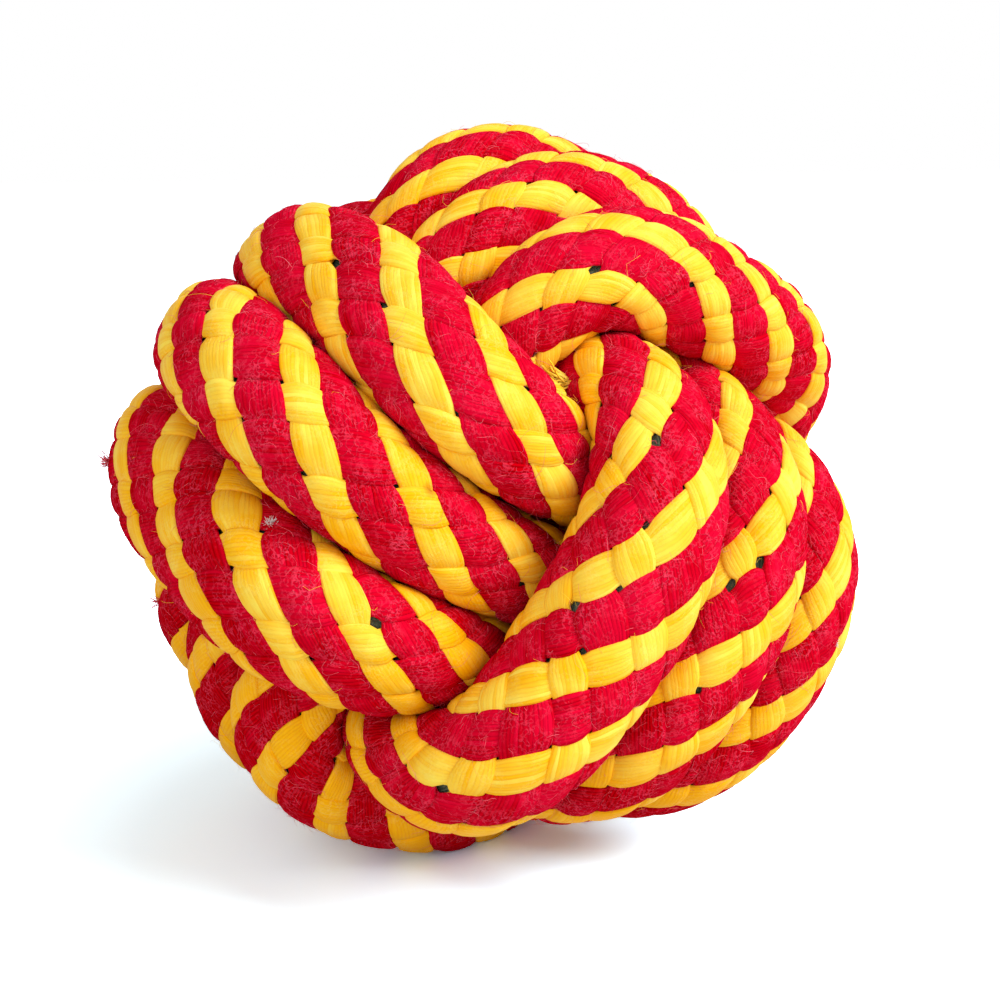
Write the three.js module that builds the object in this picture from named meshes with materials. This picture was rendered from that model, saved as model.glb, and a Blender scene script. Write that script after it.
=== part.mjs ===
// Rope dog toy: a ball knotted from one length of thick braided cotton rope.
//
// The knot is a monkey's fist. The rope makes three turns, then three turns
// round the first three, then three turns round the second and through the
// first. The three windings stand square to each other, so each face of the
// ball shows three strands side by side, and each strand dives under the next
// winding at the edge of its face. Both cut ends are tucked into the middle.
//
// The rope is a hollow braided cover over a soft filler core. Each winding is
// one unbroken stretch of cover with its stretch of core inside. The rope is
// soft: it lies flat and wide on the outside of the ball, and is pressed
// narrow and thin where it runs inside.
//
// Units are millimetres and +Z is up. The ball stands on the floor at z = 0,
// with the middle of its outline over the origin.

import * as THREE from 'three';

// Driving sizes
const ropeDiameter = 16;
const coverWall = 2.3;
const coreClearance = 0.3;
const stretchGap = 0.3;

// The rope's section as shares of its diameter, on the outside and inside.
// On the outside its outward half swells by outwardSwellShare of its depth.
const outerWidthShare = 1.03;
const outerThicknessShare = 0.8;
const outwardSwellShare = 0.22;
const innerWidthShare = 0.64;
const innerThicknessShare = 0.55;
const narrowingPower = 1.3;

// How deep the floor presses the base flat, as a share of the rope's diameter
const basePressShare = 0.17;

// Sides of the rope's section, and steps and turns of a winding
const sectionSides = 6;
const stepsPerTurn = 24;
const turnsPerWinding = 3;

// A turn's distance from the ball's centre, as shares of the rope's diameter:
// a mean value and the waves that swing two, four and six times in a turn.
// The middle turn of three runs further out inside than the two beside it.
const middleRadiusShares = [2.131, 0.485, 0.086, -0.039];
const sideRadiusShares = [1.994, 0.734, -0.277, -0.075];

// How far the side turns lie from the middle one, written the same way
const sideOffsetShares = [0.903, 0.164, 0.02];

// How the ball lies: its spin about the first winding's axis, its lean and heading
const knotSpin = -137.6;
const knotLean = 32.7;
const knotHeading = -2;

// Each winding starts and ends at an angle counted along its own turns, and
// steps over to its next place once in every turn, over shiftSpan degrees
// round shiftAngle. It first runs straight on from the winding before it, for
// firstRunShare. Its leads are its route before the first turn and after the
// last: points as shares of the rope's diameter along the knot's three axes,
// and how far the rope lies flat there, from 0 inside to 1 outside.
// Its slack lifts it off the even knot at a few places: each is an angle, and
// how far out and across the rope stands there, in shares of its diameter.
// A lift fades to nothing over slackReach degrees.
const shiftSpan = 70;
const slackReach = 80;
const windings = [
  {
    name: 'first_winding',
    axes: [0, 1, 2],
    startAngle: 300,
    endAngle: 1245,
    shiftAngle: 265,
    slackShares: [[360, 0.09, -0.04], [720, 0.25, 0.08]],
    leadInShares: [[-0.5, -0.69, -0.62, 0], [0.24, -1.1, -0.75, 0]],
    leadOutShares: [[-2.42, -0.16, 1.12, 0.97]],
  },
  {
    name: 'second_winding',
    axes: [1, 2, 0],
    startAngle: 187,
    endAngle: 1138,
    shiftAngle: 92,
    firstRunShare: 0.8,
    slackShares: [[360, 0.06, -0.1], [720, 0.1, 0], [1080, 0.14, 0.03]],
    leadInShares: [[-2.12, -1.62, 1.12, 0.8], [-1.6, -2.1, 0.86, 0.8], [-1.2, -2.38, 0.3, 0.9]],
    leadOutShares: [[0.49, 0.41, 1.08, 0], [0.38, -0.06, 0.61, 0]],
  },
  {
    name: 'third_winding',
    axes: [2, 0, 1],
    startAngle: 120,
    endAngle: 1138,
    shiftAngle: 92,
    firstRunShare: 0.66,
    slackShares: [[360, 0.07, 0], [540, 0.1, -0.12], [900, 0.04, -0.06], [1080, 0.05, -0.05]],
    leadInShares: [[0.51, -0.79, -0.23, 0], [1.09, -0.93, -0.46, 0]],
    leadOutShares: [[0.94, 0.69, 0.4, 0], [0.13, 0.69, 0.03, 0]],
  },
];

const coverColour = 0xd01030;
const coreColour = 0x35483a;
const clothRoughness = 0.95;

const radians = THREE.MathUtils.degToRad;
const mix = THREE.MathUtils.lerp;
const fullTurn = 360;

// A sum of waves, each of which swings two times more in a turn than the last
function waves(shares, angle) {
  return shares.reduce((sum, share, n) => sum + share * Math.cos(2 * n * angle), 0);
}

// The place of the rope among the turns side by side, from -1 to 1
function placeInWinding(winding, degrees) {
  const firstShift = winding.shiftAngle + fullTurn;
  let place = -1;
  for (let turn = 0; turn < turnsPerWinding - 1; turn += 1) {
    const middle = firstShift + fullTurn * turn;
    place += THREE.MathUtils.smoothstep(degrees, middle - shiftSpan / 2, middle + shiftSpan / 2);
  }
  return place;
}

// How far the rope lies flat: 1 at the middle of an outer face, 0 inside
function flatness(degrees) {
  return Math.abs(Math.cos(radians(degrees))) ** (2 * narrowingPower);
}

// How far out and across its slack lifts the rope at an angle, as shares
function slackLift(winding, degrees) {
  return winding.slackShares.reduce(([out, across], [angle, outShare, acrossShare]) => {
    const fade = 1 - THREE.MathUtils.smoothstep(Math.abs(degrees - angle), 0, slackReach);
    return [out + outShare * fade, across + acrossShare * fade];
  }, [0, 0]);
}

// A station is a point of the route, in the axes of the knot, and its flatness
function turnStation(winding, degrees) {
  const angle = radians(degrees);
  const place = placeInWinding(winding, degrees);
  const [liftOut, liftAcross] = slackLift(winding, degrees);
  const middle = waves(middleRadiusShares, angle);
  const side = waves(sideRadiusShares, angle);
  const radius = ropeDiameter * (mix(middle, side, place * place) + liftOut);
  const offset = ropeDiameter * (waves(sideOffsetShares, angle) * place + liftAcross);
  const point = new THREE.Vector3();
  point.setComponent(winding.axes[0], radius * Math.cos(angle));
  point.setComponent(winding.axes[1], radius * Math.sin(angle));
  point.setComponent(winding.axes[2], offset);
  return { point, flat: flatness(degrees) };
}

function leadStation([x, y, z, flat]) {
  return { point: new THREE.Vector3(x, y, z).multiplyScalar(ropeDiameter), flat };
}

// A station further along the line through the last two stations
function straightOn(stations, distance) {
  const [before, last] = stations.slice(-2);
  const direction = last.point.clone().sub(before.point).normalize();
  return { point: last.point.clone().addScaledVector(direction, distance), flat: last.flat };
}

// The route of one winding. It starts in line with the end of the winding
// before it, a small gap further on, and its ends run straight.
function windingRoute(winding, previous) {
  const stations = [];
  if (previous) {
    const start = straightOn(previous, stretchGap);
    stations.push(start);
    stations.push(straightOn([previous.at(-1), start], ropeDiameter * winding.firstRunShare));
  }
  stations.push(...winding.leadInShares.map(leadStation));
  const steps = Math.round((winding.endAngle - winding.startAngle) * stepsPerTurn / fullTurn);
  for (let step = 0; step <= steps; step += 1) {
    const degrees = mix(winding.startAngle, winding.endAngle, step / steps);
    stations.push(turnStation(winding, degrees));
  }
  stations.push(...winding.leadOutShares.map(leadStation));
  return stations;
}

// Rings of points round the route, each square to it, with the rope's flat
// side facing out of the ball. The inset draws them in for the inner layers.
function sectionRings(stations, inset) {
  return stations.map(({ point, flat }, i) => {
    const before = stations[Math.max(i - 1, 0)].point;
    const after = stations[Math.min(i + 1, stations.length - 1)].point;
    const along = after.clone().sub(before).normalize();
    const out = point.clone().addScaledVector(along, -point.dot(along)).normalize();
    const across = along.clone().cross(out);
    const flatSide = Math.cos(Math.PI / sectionSides);
    const width = ropeDiameter * mix(innerWidthShare, outerWidthShare, flat) / 2;
    const thickness = ropeDiameter * mix(innerThicknessShare, outerThicknessShare, flat) / 2;
    const swollen = thickness * (1 + outwardSwellShare * flat);
    const halfWidth = width - inset / flatSide;
    return Array.from({ length: sectionSides }, (_, side) => {
      const angle = 2 * Math.PI * side / sectionSides;
      const depth = Math.sin(angle) > 0 ? swollen : thickness;
      return point.clone()
        .addScaledVector(across, halfWidth * Math.cos(angle))
        .addScaledVector(out, (depth - inset) / flatSide * Math.sin(angle));
    });
  });
}

// The skin between one ring of points and the next, facing out, or in if turned
function skin(rings, firstIndex, turned) {
  const faces = [];
  for (let i = 0; i < rings.length - 1; i += 1) {
    for (let side = 0; side < sectionSides; side += 1) {
      const next = (side + 1) % sectionSides;
      const a = firstIndex + i * sectionSides + side;
      const b = firstIndex + i * sectionSides + next;
      const c = b + sectionSides;
      const d = a + sectionSides;
      faces.push(...(turned ? [a, c, d, a, b, c] : [a, d, c, a, c, b]));
    }
  }
  return faces;
}

function solidGeometry(points, faces) {
  const geometry = new THREE.BufferGeometry();
  const places = points.flatMap((point) => point.toArray());
  geometry.setAttribute('position', new THREE.Float32BufferAttribute(places, 3));
  geometry.setIndex(faces);
  return geometry;
}

// A hollow stretch of cover, open at both ends
function coverGeometry(outerRings, innerRings) {
  const points = [...outerRings.flat(), ...innerRings.flat()];
  const innerStart = outerRings.flat().length;
  const lastRing = innerStart - sectionSides;
  const faces = [...skin(outerRings, 0, false), ...skin(innerRings, innerStart, true)];
  for (let side = 0; side < sectionSides; side += 1) {
    const next = (side + 1) % sectionSides;
    faces.push(side, next, innerStart + next, side, innerStart + next, innerStart + side);
    const [a, b] = [lastRing + side, lastRing + next];
    const [c, d] = [b + innerStart, a + innerStart];
    faces.push(a, d, c, a, c, b);
  }
  return solidGeometry(points, faces);
}

// A solid stretch of core
function coreGeometry(rings) {
  const points = rings.flat();
  const lastRing = points.length - sectionSides;
  const faces = skin(rings, 0, false);
  for (let side = 1; side < sectionSides - 1; side += 1) {
    faces.push(0, side, side + 1);
    faces.push(lastRing, lastRing + side + 1, lastRing + side);
  }
  return solidGeometry(points, faces);
}

// The least distance between one turn and the next, measured on points spread
// over the faces of the cover, with the steps that follow each other left out
function leastGapToItself(rings) {
  const spread = 4;
  const stepsApart = stepsPerTurn / 3;
  const samples = [];
  for (let i = 0; i < rings.length - 1; i += 1) {
    for (let side = 0; side < sectionSides; side += 1) {
      const next = (side + 1) % sectionSides;
      for (let u = 0; u < spread; u += 1) {
        for (let v = 0; v < spread; v += 1) {
          const low = rings[i][side].clone().lerp(rings[i][next], v / spread);
          const high = rings[i + 1][side].clone().lerp(rings[i + 1][next], v / spread);
          samples.push({ step: i + u / spread, point: low.lerp(high, u / spread) });
        }
      }
    }
  }
  let least = Infinity;
  samples.forEach((a, i) => {
    for (let j = i + 1; j < samples.length; j += 1) {
      const b = samples[j];
      if (b.step - a.step > stepsApart) {
        least = Math.min(least, a.point.distanceToSquared(b.point));
      }
    }
  });
  return Math.sqrt(least);
}

function cloth(color) {
  return new THREE.MeshStandardMaterial({ color, roughness: clothRoughness, metalness: 0 });
}

const cover = cloth(coverColour);
const core = cloth(coreColour);

// The three windings, one after the other, in the axes of the knot
const routes = [];
windings.forEach((winding, i) => {
  routes.push(windingRoute(winding, routes[i - 1]));
});

// Lays the knot down: turned to its rest, over the origin and on the floor
const pose = new THREE.Matrix4()
  .makeRotationZ(radians(knotHeading))
  .multiply(new THREE.Matrix4().makeRotationY(radians(knotLean)))
  .multiply(new THREE.Matrix4().makeRotationZ(radians(knotSpin)));

const insets = [0, coverWall, coverWall + coreClearance];
const layers = routes.map((route) => insets.map((inset) => sectionRings(route, inset)));
layers.flat(3).forEach((point) => point.applyMatrix4(pose));

const bounds = new THREE.Box3().setFromPoints(layers.flatMap(([outside]) => outside.flat()));
const middle = bounds.getCenter(new THREE.Vector3());
const basePress = basePressShare * ropeDiameter;
const toFloor = new THREE.Vector3(-middle.x, -middle.y, -bounds.min.z - basePress);
layers.flat(3).forEach((point) => point.add(toFloor));

// The floor presses flat what would reach below it, and each layer keeps its thickness
layers.forEach((layer) => layer.forEach((rings, i) => rings.flat().forEach((point) => {
  point.z = Math.max(point.z, insets[i]);
})));

const ball = new THREE.Group();
windings.forEach((winding, i) => {
  const [outside, inside, coreOutside] = layers[i];
  const sleeve = new THREE.Mesh(coverGeometry(outside, inside), cover);
  sleeve.name = `${winding.name}_cover`;
  const filler = new THREE.Mesh(coreGeometry(coreOutside), core);
  filler.name = `${winding.name}_core`;
  ball.add(sleeve, filler);
  console.log(`${winding.name} least gap to itself ${leastGapToItself(outside).toFixed(2)} mm`);
});

export default ball;
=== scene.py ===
"""A rope dog toy: a ball knotted from one length of braided cotton rope.

The rope is built as the real one is: sixteen flat cotton tapes, woven over and
under each other into a tube, round a core of filler strands. The tapes follow
the knot's three windings as one unbroken rope, and are pressed flat where one
strand lies against the next.
"""

import math

import bpy
import numpy as np
from mathutils import Matrix, Vector


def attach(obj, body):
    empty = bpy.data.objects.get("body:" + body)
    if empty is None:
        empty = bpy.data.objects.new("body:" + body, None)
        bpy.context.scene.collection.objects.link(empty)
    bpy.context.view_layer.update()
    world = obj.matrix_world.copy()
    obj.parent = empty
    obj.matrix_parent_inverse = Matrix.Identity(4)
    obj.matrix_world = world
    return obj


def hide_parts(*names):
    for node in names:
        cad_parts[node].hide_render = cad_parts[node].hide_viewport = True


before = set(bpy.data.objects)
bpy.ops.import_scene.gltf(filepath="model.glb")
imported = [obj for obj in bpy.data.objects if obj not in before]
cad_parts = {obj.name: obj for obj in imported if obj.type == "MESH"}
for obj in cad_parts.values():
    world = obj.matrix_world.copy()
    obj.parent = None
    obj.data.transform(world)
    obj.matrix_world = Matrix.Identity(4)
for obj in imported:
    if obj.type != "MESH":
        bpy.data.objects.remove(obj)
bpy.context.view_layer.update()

MM = 0.001

# The knot, in metres and in its own three axes, as the solids have it: the rope's
# thickness, the ball's centre, how the knot is turned, and the waves that give
# the distance of the middle turn and of the side turns from the centre and how
# far the side turns lie to the side, as shares of the rope's thickness. Then the
# degrees in which a winding steps over to its next place, how steeply the rope
# gets narrower towards the inside of the ball, and the turns of a winding
ROPE = 0.016
BALL_CENTRE = np.array([0.00052, 0.0005, 0.04828])
KNOT_SPIN, KNOT_LEAN, KNOT_HEADING = -137.6, 32.7, -2.0
MIDDLE_RADIUS_SHARES = (2.131, 0.485, 0.086, -0.039)
SIDE_RADIUS_SHARES = (1.994, 0.734, -0.277, -0.075)
SIDE_OFFSET_SHARES = (0.903, 0.164, 0.02)
SHIFT_SPAN = 70.0
NARROWING_POWER = 1.3
TURNS = 3

# Each winding: its axes, its first and last angle, where it steps over, and
# its leads as shares of the rope's diameter, with how flat the rope lies there
WINDINGS = (
    dict(axes=(0, 1, 2), start=300, end=1245, shift=265,
         lead_in=[(-0.5, -0.69, -0.62, 0), (0.24, -1.1, -0.75, 0)],
         lead_out=[(-2.42, -0.16, 1.12, 0.97)]),
    dict(axes=(1, 2, 0), start=187, end=1138, shift=92,
         lead_in=[(-2.43, -0.98, 1.19, 0.97), (-2.12, -1.62, 1.12, 0.8),
                  (-1.6, -2.1, 0.86, 0.8), (-1.2, -2.38, 0.3, 0.9)],
         lead_out=[(0.49, 0.41, 1.08, 0), (0.38, -0.06, 0.61, 0)]),
    dict(axes=(2, 0, 1), start=120, end=1138, shift=92,
         lead_in=[(0.27, -0.53, 0.14, 0), (0.51, -0.79, -0.23, 0), (1.09, -0.93, -0.46, 0)],
         lead_out=[(0.94, 0.69, 0.4, 0), (0.13, 0.69, 0.03, 0),
                   (-0.14, 0.37, -0.12, 0), (-0.34, -0.07, -0.26, 0), (-0.49, -0.27, -0.24, 0)]),
)

# How the rope lies off the even knot on each pass over a face, as measured on
# the photograph: winding, angle, how far out and how far across in millimetres
# at the start, middle and end of the pass, and its change of width and depth
PASSES = (
    (0, 360, (0.5, 1.5, 2.5), (-0.6, 0.2, -0.8), 0.12, -0.01),
    (0, 720, (3.0, 4.5, 3.0), (0.5, 2.5, -0.5), -0.08, 0.02),
    (0, 1080, (-1.0, 0.0, -0.5), (-1.5, 0.0, 0.0), -0.02, -0.08),
    (1, 360, (-4.0, 2.5, -1.5), (-1.0, -3.0, -0.5), -0.03, -0.04),
    (1, 720, (3.5, 0.5, 4.0), (-2.0, -0.5, -1.0), -0.08, 0.04),
    (1, 1080, (2.5, 3.5, -2.0), (3.5, -1.0, 1.5), -0.03, 0.08),
    (2, 360, (1.5, 1.5, -1.0), (0.0, 0.0, 0.0), 0.05, -0.04),
    (2, 720, (-2.0, -1.0, 4.0), (-0.5, -2.0, -2.0), -0.04, 0.0),
    (2, 1080, (0.0, 1.0, -1.0), (-0.8, -0.8, -1.8), -0.09, -0.02),
    (2, 180, (-1.5, -0.5, 0.0), (-0.5, -0.5, -0.5), 0.0, 0.0),
    (2, 540, (3.5, 1.5, 0.0), (-3.0, -2.0, -1.0), -0.02, 0.0),
    (2, 900, (0.5, 1.0, -2.0), (-1.5, -1.0, -3.5), 0.06, 0.02),
    (1, 900, (-2.5, -0.5, 0.0), (-2.5, -1.0, 0.0), -0.04, 0.0),
)

# In degrees, how far a pass's start and end are from its middle, how far the
# shift at each of them reaches, and half the length of a pass. Then how steeply
# its change of width and depth sets in
PASS_STEP, PASS_REACH, PASS_HALF = 42.0, 45.0, 85.0
PASS_FADE = 2.2

# The rope's outline on the outside of the ball and inside it. It is a rounded
# box: a power of two would make it an ellipse
OUTER_WIDTH, OUTER_DEPTH = 0.0188, 0.0158
INNER_WIDTH, INNER_DEPTH = 0.0128, 0.0114
OUTLINE_POWER = 2.3

# The braid: pairs of tapes each way, the length of rope in which a tape winds
# round it once, a tape's thickness, half a yellow tape's width as a share of the
# tapes' spacing, and the share that each edge keeps off the next tape
PAIRS = 4
LEAD = 0.060
TAPE_THICKNESS = 0.0010
YELLOW_SHARE = 0.44
EDGE_GAP_SHARE = 0.015

# How far the soft braid has twisted and stretched, as measured on the
# photograph: a place along the rope in millimetres, and how many tapes the
# stripes and the crossing tapes are ahead there
BRAID_SHIFTS = (
    (62, 0.1, 0.2), (74, 0.3, 0.2), (84, -0.75, 0.2), (90, -0.45, 0.2),
    (102, 0.6, 0.2), (112, 0.3, 0.2), (130, -0.2, 0.1),
    (310, -0.9, -0.4), (335, -0.5, -0.8), (352, -0.3, -0.6),
    (545, -0.9, -0.9), (570, -1.7, -0.2), (582, -1.3, 0.0),
    (835, -1.6, -0.9), (860, -1.8, -0.9), (875, -1.4, -0.9),
    (1070, -1.15, -1.4), (1105, -0.8, -1.6),
    (1291, -0.45, -1.1), (1340, -0.3, -1.1), (1355, 0.1, -1.1),
    (1610, -0.5, -1.0),
    (1834, -1.1, -0.1), (1850, -0.6, -0.1),
    (1916, -0.7, 0.0), (1935, 0.1, 0.0), (1954, 0.0, 0.0),
    (2047, 0.0, 0.0), (2075, 0.5, 0.0), (2090, 0.9, 0.0),
)

# Steps along a winding in degrees and along the rope in metres, points round the
# rope, and over how many steps its line, directions and shifts are evened out
ANGLE_STEP = 5.0
ROUTE_STEP = 0.001
SIDES = 64
ROUTE_BLUR = 2.5
OUT_BLUR = 3
SHIFT_BLUR = 5

# How strands press on each other: how near another strand counts, how many steps
# either way are the strand itself, half the length of rope that one station
# stands for, the steps from one station to the next, the least share of the
# outline that stays, and how often the place where the strands meet is halved.
# Then over how many steps the skin is evened out, how far it keeps off the floor,
# and how many angles an outline's length is measured at
NEIGHBOUR_REACH = 0.021
OWN_STEPS = 24
STATION_REACH = 0.010
STATION_STEP = 2
LEAST_SHARE = 0.4
HALVINGS = 6
SKIN_BLUR_ALONG, SKIN_BLUR_AROUND = 1.2, 1.0
FLOOR_CLEARANCE = 0.0002
FINE_ANGLES = 1441

# What keeps a divisor off zero, and a place on the rope off the last station
NEARLY_ZERO = 1e-6
END_MARGIN = 0.001


def smooth_step(x, low, high):
    t = np.clip((x - low) / (high - low), 0, 1)
    return t * t * (3 - 2 * t)


def waves(shares, angle):
    return sum(share * np.cos(2 * n * angle) for n, share in enumerate(shares))


def place_in_winding(winding, degrees):
    place = -np.ones_like(degrees)
    for turn in range(1, TURNS):
        middle = winding["shift"] + 360 * turn
        place += smooth_step(degrees, middle - SHIFT_SPAN / 2, middle + SHIFT_SPAN / 2)
    return place


def winding_points(number):
    """Points of one winding in the knot's axes, with the rope's flatness, width and depth."""
    winding = WINDINGS[number]
    count = int(round((winding["end"] - winding["start"]) / ANGLE_STEP)) + 1
    degrees = np.linspace(winding["start"], winding["end"], count)
    angle = np.radians(degrees)
    place = place_in_winding(winding, degrees)
    middle = waves(MIDDLE_RADIUS_SHARES, angle)
    side = waves(SIDE_RADIUS_SHARES, angle)
    radius = ROPE * (middle + (side - middle) * place * place)
    across = ROPE * waves(SIDE_OFFSET_SHARES, angle) * place
    wide = np.ones(count)
    deep = np.ones(count)
    for owner, centre, out, over, more_width, more_depth in PASSES:
        if owner != number:
            continue
        for k, place_along in enumerate((-PASS_STEP, 0, PASS_STEP)):
            x = np.clip((degrees - centre - place_along) / PASS_REACH, -1, 1)
            bump = 0.5 * (1 + np.cos(np.pi * x))
            radius += MM * out[k] * bump
            across += MM * over[k] * bump
        whole = np.clip(PASS_FADE * (1 - np.abs(degrees - centre) / PASS_HALF), 0, 1)
        wide += more_width * whole
        deep += more_depth * whole
    points = np.zeros((count, 3))
    first, second, third = winding["axes"]
    points[:, first] = radius * np.cos(angle)
    points[:, second] = radius * np.sin(angle)
    points[:, third] = across
    flat = np.abs(np.cos(angle)) ** (2 * NARROWING_POWER)
    return np.column_stack([points, flat, wide, deep])


def lead_points(leads):
    rows = [[x * ROPE, y * ROPE, z * ROPE, flat, 1, 1] for x, y, z, flat in leads]
    return np.array(rows)


def blur(values, spread, wrap=False):
    """Evens out values along their first axis."""
    reach = int(3 * spread) + 1
    weights = np.exp(-0.5 * (np.arange(-reach, reach + 1) / spread) ** 2)
    weights /= weights.sum()
    pad = [(reach, reach)] + [(0, 0)] * (values.ndim - 1)
    padded = np.pad(values, pad, mode="wrap" if wrap else "edge")
    return sum(w * padded[k:k + len(values)] for k, w in enumerate(weights))


def resample(rows, step):
    """Rows at even steps along the line through their first three columns."""
    run = np.r_[0, np.cumsum(np.linalg.norm(np.diff(rows[:, :3], axis=0), axis=1))]
    even = np.linspace(0, run[-1], int(run[-1] / step) + 1)
    return np.column_stack([np.interp(even, run, column) for column in rows.T])


def rope_route():
    """The whole rope's line: point, flatness, width and depth, at even steps."""
    rows = []
    for number, winding in enumerate(WINDINGS):
        rows.append(lead_points(winding["lead_in"]))
        rows.append(winding_points(number))
        rows.append(lead_points(winding["lead_out"]))
    even = resample(np.vstack(rows), ROUTE_STEP)
    return resample(blur(even, ROUTE_BLUR), ROUTE_STEP)


def knot_pose():
    spin = Matrix.Rotation(math.radians(KNOT_SPIN), 3, "Z")
    lean = Matrix.Rotation(math.radians(KNOT_LEAN), 3, "Y")
    heading = Matrix.Rotation(math.radians(KNOT_HEADING), 3, "Z")
    return np.array(heading @ lean @ spin)


def unit(vectors):
    return vectors / np.linalg.norm(vectors, axis=-1, keepdims=True)


class Rope:
    """The rope's line with its directions, and the skin that the weave's middle follows."""

    def __init__(self):
        rows = rope_route()
        pose = knot_pose()
        self.points = rows[:, :3] @ pose.T
        self.count = len(rows)
        self.along = unit(np.gradient(self.points, axis=0))
        out = self.points - self.along * np.sum(self.points * self.along, axis=1)[:, None]
        out = blur(unit(out), OUT_BLUR)
        out -= self.along * np.sum(out * self.along, axis=1)[:, None]
        self.out = unit(out)
        self.across = np.cross(self.along, self.out)
        self.points = self.points + BALL_CENTRE
        self.flat = np.clip(rows[:, 3], 0, 1)
        width = INNER_WIDTH + (OUTER_WIDTH - INNER_WIDTH) * self.flat
        depth = INNER_DEPTH + (OUTER_DEPTH - INNER_DEPTH) * self.flat
        self.half_width = 0.5 * width * rows[:, 4]
        self.half_depth = 0.5 * depth * rows[:, 5]
        self.length = ROUTE_STEP * (self.count - 1)
        self.polar = even_polar_angles(OUTER_WIDTH, OUTER_DEPTH)
        self.build_skin()

    def outline(self, station):
        """The rope's outline at a station, as distances along the polar angles."""
        x = np.abs(np.cos(self.polar)) / self.half_width[station]
        y = np.abs(np.sin(self.polar)) / self.half_depth[station]
        return (x ** OUTLINE_POWER + y ** OUTLINE_POWER) ** (-1 / OUTLINE_POWER)

    def build_skin(self):
        stations = np.arange(0, self.count, STATION_STEP)
        pressed = np.array([self.pressed_outline(i) for i in stations])
        pressed = blur(pressed, SKIN_BLUR_ALONG)
        pressed = blur(pressed.T, SKIN_BLUR_AROUND, wrap=True).T
        every = np.arange(self.count)
        columns = [np.interp(every, stations, column) for column in pressed.T]
        self.radius = np.column_stack(columns) - TAPE_THICKNESS
        directions = (np.cos(self.polar)[None, :, None] * self.across[:, None]
                      + np.sin(self.polar)[None, :, None] * self.out[:, None])
        self.skin = self.points[:, None] + self.radius[:, :, None] * directions
        around = np.roll(self.skin, -1, axis=1) - np.roll(self.skin, 1, axis=1)
        normals = np.cross(np.gradient(self.skin, axis=0), around)
        self.normals = unit(normals)

    def pressed_outline(self, station):
        """The outline where the neighbouring strands and the floor press it in."""
        full = self.outline(station)
        centre = self.points[station]
        others = np.arange(0, self.count, STATION_STEP)
        near = np.linalg.norm(self.points[others] - centre, axis=1) < NEIGHBOUR_REACH
        others = others[near & (np.abs(others - station) > OWN_STEPS)]
        direction = (np.cos(self.polar)[:, None] * self.across[station]
                     + np.sin(self.polar)[:, None] * self.out[station])
        low, high = LEAST_SHARE * full, full.copy()
        if len(others):
            touching = self.pressed(centre + high[:, None] * direction, high / full, others)
            for _ in range(HALVINGS):
                middle = 0.5 * (low + high)
                inside = self.pressed(centre + middle[:, None] * direction, middle / full, others)
                high = np.where(inside, middle, high)
                low = np.where(inside, low, middle)
            full = np.where(touching, high, full)
        floor = (centre[2] - FLOOR_CLEARANCE) / np.maximum(-direction[:, 2], NEARLY_ZERO)
        return np.minimum(full, floor)

    def pressed(self, places, share, others):
        """True where a place lies further into another strand than it does in its own."""
        offset = places[:, None] - self.points[others]
        x = np.abs(np.sum(offset * self.across[others], axis=2)) / self.half_width[others]
        y = np.abs(np.sum(offset * self.out[others], axis=2)) / self.half_depth[others]
        z = np.sum(offset * self.along[others], axis=2) / STATION_REACH
        depth = ((x ** OUTLINE_POWER + y ** OUTLINE_POWER) ** (2 / OUTLINE_POWER) + z * z) ** 0.5
        return depth.min(axis=1) < share

    def place(self, run, turn, height):
        """Points at a distance along the rope, a share of a turn round it and a height."""
        row = np.clip(run / ROUTE_STEP, 0, self.count - 1 - END_MARGIN)
        column = (turn % 1.0) * SIDES
        i = row.astype(int)
        j = column.astype(int) % SIDES
        u = (row - i)[..., None]
        v = (column - np.floor(column))[..., None]
        k = (j + 1) % SIDES

        def mixed(grid):
            first = grid[i, j] * (1 - v) + grid[i, k] * v
            second = grid[i + 1, j] * (1 - v) + grid[i + 1, k] * v
            return first * (1 - u) + second * u

        points = mixed(self.skin) + mixed(self.normals) * height[..., None]
        points[..., 2] = np.maximum(points[..., 2], 0)
        return points


def even_polar_angles(width, depth):
    """Polar angles that step evenly round an outline of this width and depth."""
    fine = np.linspace(0, 2 * np.pi, FINE_ANGLES)
    x = np.abs(np.cos(fine)) / width
    y = np.abs(np.sin(fine)) / depth
    distance = (x ** OUTLINE_POWER + y ** OUTLINE_POWER) ** (-1 / OUTLINE_POWER)
    ring = np.column_stack([distance * np.cos(fine), distance * np.sin(fine)])
    run = np.r_[0, np.cumsum(np.linalg.norm(np.diff(ring, axis=0), axis=1))]
    return np.interp(np.arange(SIDES) / SIDES * run[-1], run, fine)


# The weave. Tapes that run with the stripes are numbered from zero to seven
# round the rope, and so are the tapes that cross them. Even ones are yellow. The
# step is the tapes' spacing on the yarns' map
TAPES = 2 * PAIRS
TAPE_STEP_MM = 4.9

# A tape's outline: places across its top and its underside as shares of half its
# width, and the power that makes it a flat band with rounded edges
TOP_SHARES = np.array([-1, -0.97, -0.88, -0.65, -0.25, 0.25, 0.65, 0.88, 0.97, 1])
BOTTOM_SHARES = np.array([0.8, 0, -0.8])
EDGE_POWER = 4.0

# How a tape goes over and under: how much of its swing is held flat, how much
# wider it is on top, and how uneven its width and swing are, with the number of
# points from one change to the next and the seeds
HELD_FLAT = 0.7
WIDER_OVER = 0.10
UNEVEN_WIDTH, WIDTH_SPACING = 0.05, 9
UNEVEN_LIFT, LIFT_SPACING = 0.18, 7
EDGE_SEED, LIFT_SEED = 100, 300

# Steps along a tape in tapes' spacings, where the rope shows and inside the ball,
# and the flatness from which it counts as shown
SHOWN_STEP, INNER_STEP = 0.16, 0.4
SHOWN_FLATNESS = 0.05

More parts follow.
